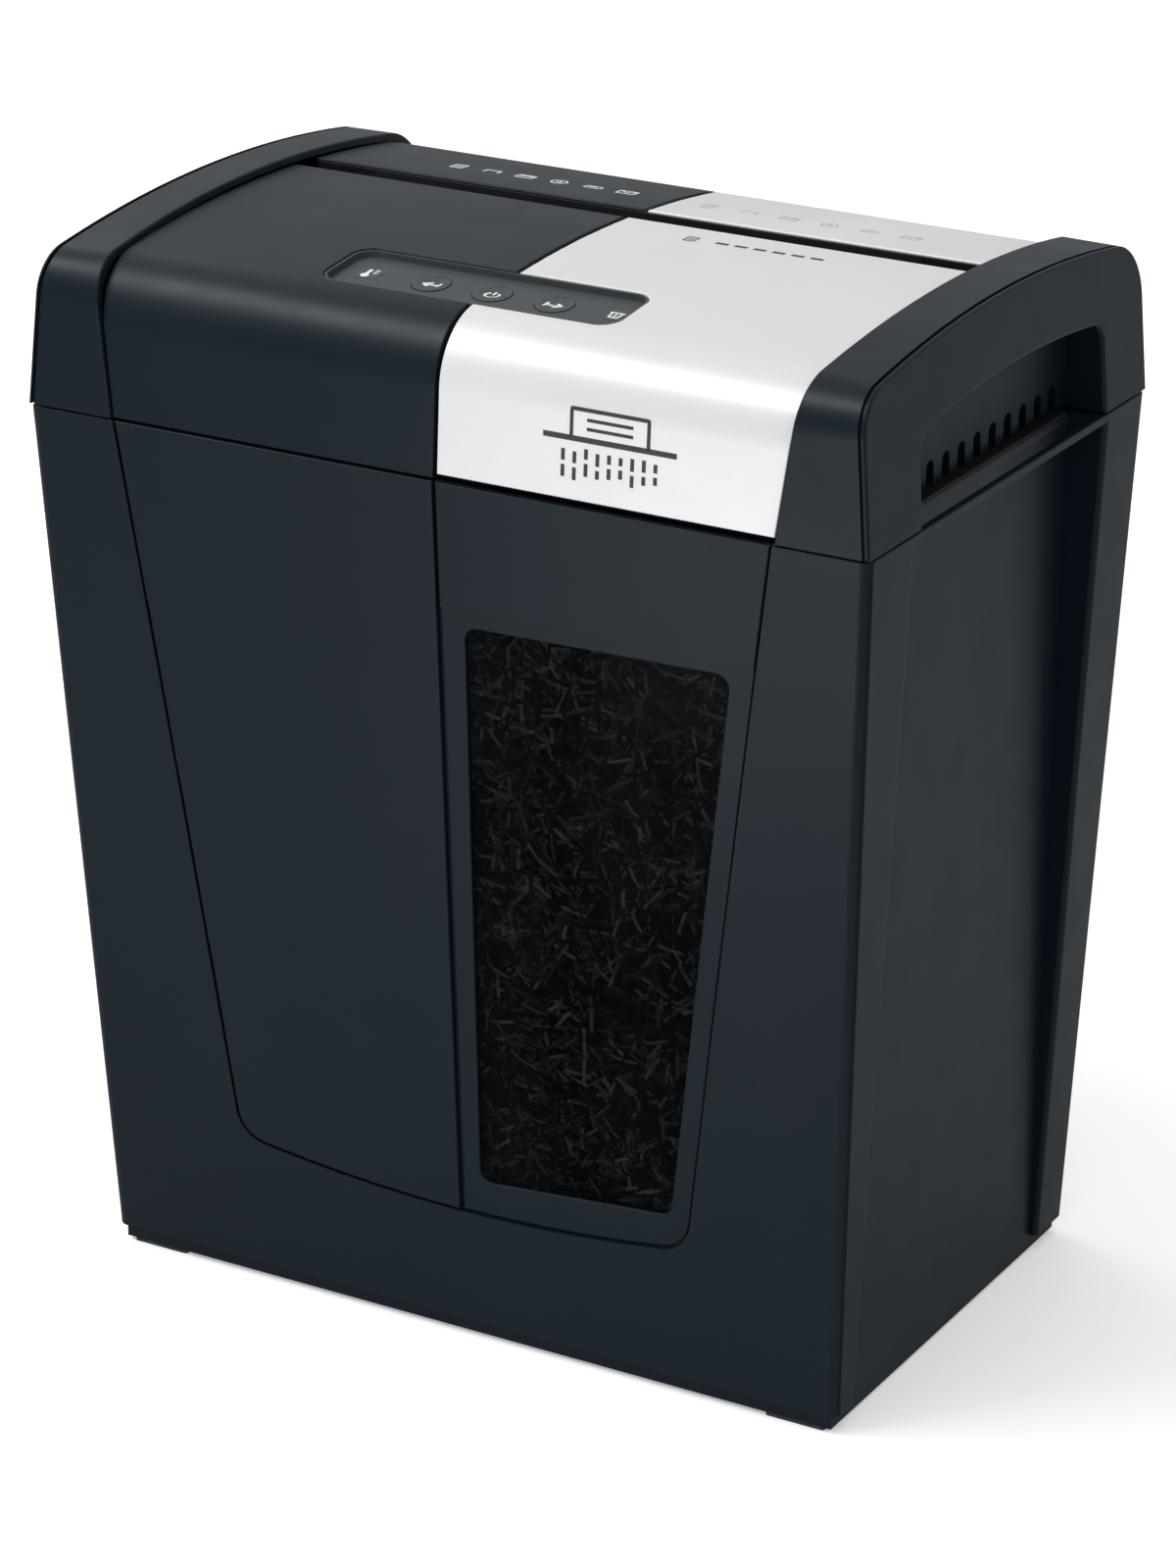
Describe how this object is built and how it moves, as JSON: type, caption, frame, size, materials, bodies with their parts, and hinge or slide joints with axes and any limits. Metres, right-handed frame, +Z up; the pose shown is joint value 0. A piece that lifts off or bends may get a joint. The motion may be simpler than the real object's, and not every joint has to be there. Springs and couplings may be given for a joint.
{
  "type": "paper shredder",
  "caption": "Tapered black waste bin with a smoked window, and a lift-off shredding head with a half silver top, a slot and a key panel.",
  "frame": {"origin": "on the floor under the middle of the shredder, half way along its width and its depth", "axes": "+X to the right seen from the front, -Y out of the front, +Z up"},
  "size_m": [0.34, 0.224, 0.4075],
  "materials": {
    "black_plastic": "satin moulded, fine texture",
    "inner_plastic": "moulded black",
    "silver_plastic": "silver lacquer, satin",
    "grey_plastic": "satin grey",
    "lens": "frosted light guide",
    "smoked_window": "smoked clear plastic",
    "rubber": "matte",
    "cutter_steel": "hardened and oiled",
    "gear_plastic": "natural nylon",
    "sheet_steel": "zinc plated",
    "bronze": "sintered bronze",
    "circuit_board": "green solder mask",
    "components": "moulded component cases"
  },
  "bodies": {
    "bin": {"bin_shell": "black_plastic", "front_panel": "black_plastic", "window_frame": "black_plastic", "bin_window": "smoked_window", "rubber_feet": "rubber"},
    "head": {"front_cover_black": "black_plastic", "silver_panel": "silver_plastic", "rear_strip_black": "black_plastic", "rear_strip_silver": "silver_plastic", "rear_cover": "black_plastic", "left_end_cap": "black_plastic", "right_end_cap": "black_plastic", "slot_throat": "inner_plastic", "paper_sensors": "inner_plastic", "control_bezel": "grey_plastic", "led_bar": "lens", "indicator_lenses": "lens", "control_pcb": "circuit_board", "head_tray": "inner_plastic", "housing_screws": "sheet_steel", "left_side_plate": "sheet_steel", "right_side_plate": "sheet_steel", "tie_rods": "sheet_steel", "frame_screws": "sheet_steel", "shaft_bushes": "bronze", "front_comb": "inner_plastic", "rear_comb": "inner_plastic", "gear_axles": "cutter_steel", "gear_cover": "inner_plastic", "motor_can": "sheet_steel", "motor_end_bell": "inner_plastic", "motor_stator": "sheet_steel", "motor_bearings": "bronze", "motor_screws": "sheet_steel", "power_board": "circuit_board", "power_components": "components", "mains_switch": "inner_plastic", "cord_gland": "rubber", "safety_switch": "inner_plastic"},
    "front_roller": {"front_cutter": "cutter_steel", "front_sync_gear": "cutter_steel", "drive_gear": "gear_plastic", "front_shaft_clip": "sheet_steel"},
    "rear_roller": {"rear_cutter": "cutter_steel", "rear_sync_gear": "cutter_steel", "rear_shaft_clip": "sheet_steel"},
    "second_gear": {"second_gear": "gear_plastic"},
    "first_gear": {"first_gear": "gear_plastic"},
    "rotor": {"armature": "sheet_steel", "motor_pinion": "cutter_steel", "cooling_fan": "inner_plastic"},
    "reverse_key": {"reverse_button": "grey_plastic"},
    "power_key": {"power_button": "grey_plastic"},
    "forward_key": {"forward_button": "grey_plastic"},
    "rocker": {"mains_rocker": "inner_plastic"},
    "plunger": {"interlock_plunger": "inner_plastic"}
  },
  "joints": [
    {"name": "head_lift", "type": "slide", "parent": "bin", "child": "head", "axis": [0, 0, 1], "range_m": [0, 0.13]},
    {"name": "front_roller_spin", "type": "hinge", "parent": "head", "child": "front_roller", "pos_m": [0, 0.013, 0.352], "axis": [1, 0, 0], "continuous": true},
    {"name": "rear_roller_spin", "type": "hinge", "parent": "head", "child": "rear_roller", "pos_m": [0, 0.047, 0.352], "axis": [1, 0, 0], "continuous": true},
    {"name": "second_gear_spin", "type": "hinge", "parent": "head", "child": "second_gear", "pos_m": [0, -0.02032, 0.36093], "axis": [1, 0, 0], "continuous": true},
    {"name": "first_gear_spin", "type": "hinge", "parent": "head", "child": "first_gear", "pos_m": [0, -0.04296, 0.34124], "axis": [1, 0, 0], "continuous": true},
    {"name": "rotor_spin", "type": "hinge", "parent": "head", "child": "rotor", "pos_m": [0, -0.055, 0.362], "axis": [1, 0, 0], "continuous": true},
    {"name": "reverse_press", "type": "slide", "parent": "head", "child": "reverse_key", "axis": [0, 0, -1], "range_m": [0, 0.0008], "stiffness_N_per_m": 1200},
    {"name": "power_press", "type": "slide", "parent": "head", "child": "power_key", "axis": [0, 0, -1], "range_m": [0, 0.0008], "stiffness_N_per_m": 1200},
    {"name": "forward_press", "type": "slide", "parent": "head", "child": "forward_key", "axis": [0, 0, -1], "range_m": [0, 0.0008], "stiffness_N_per_m": 1200},
    {"name": "rocker_tilt", "type": "hinge", "parent": "head", "child": "rocker", "pos_m": [-0.109, 0.104, 0.367], "axis": [1, 0, 0], "range_deg": [0, 16]},
    {"name": "plunger_travel", "type": "slide", "parent": "head", "child": "plunger", "axis": [0, 0, -1], "range_m": [0, 0.003]}
  ],
  "couplings": [
    {"joint": "rear_roller_spin", "follows": "front_roller_spin", "ratio": -1},
    {"joint": "second_gear_spin", "follows": "front_roller_spin", "ratio": -2.8333},
    {"joint": "first_gear_spin", "follows": "front_roller_spin", "ratio": 8.5},
    {"joint": "rotor_spin", "follows": "front_roller_spin", "ratio": -37.864},
    {"joint": "plunger_travel", "follows": "head_lift", "ratio": 0.023}
  ]
}
